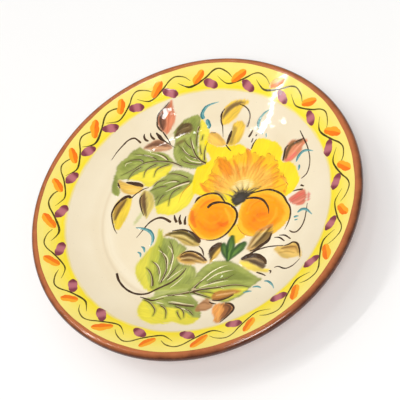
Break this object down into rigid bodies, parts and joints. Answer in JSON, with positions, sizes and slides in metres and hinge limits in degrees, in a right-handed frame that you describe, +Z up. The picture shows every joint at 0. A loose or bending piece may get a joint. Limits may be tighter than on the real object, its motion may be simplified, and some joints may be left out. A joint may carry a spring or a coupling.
{
  "type": "hand painted earthenware plate",
  "caption": "Round red clay plate with a flat cream well, a sloping flange with a yellow border, a rolled brown lip and a turned foot ring.",
  "frame": {"origin": "centre of the foot ring's resting face, at the bottom of the plate", "axes": "+Z up out of the well along the turning axis, +Y towards the top of the painted picture, +X to its right"},
  "size_m": [0.23, 0.23, 0.0312],
  "materials": {
    "red_clay": "fired red earthenware, bare and slightly rough",
    "foot_clay": "bare red earthenware, turned, with fine grog and a rubbed resting edge",
    "cream_glaze": "glossy cream glaze painted with flowers, fruit and leaves",
    "yellow_glaze": "glossy brushed yellow band with a wavy vine, orange buds and purple petals",
    "brown_glaze": "glossy brown glaze over the rolled clay lip",
    "back_glaze": "clear honey glaze over red clay with throwing rings showing through",
    "recess_glaze": "clear honey glaze pooled inside the foot ring"
  },
  "bodies": {
    "root": {"clay_dish": "red_clay", "foot_ring": "foot_clay", "face_glaze": "cream_glaze", "border_glaze": "yellow_glaze", "lip_glaze": "brown_glaze", "back_glaze": "back_glaze", "recess_glaze": "recess_glaze"}
  },
  "joints": []
}
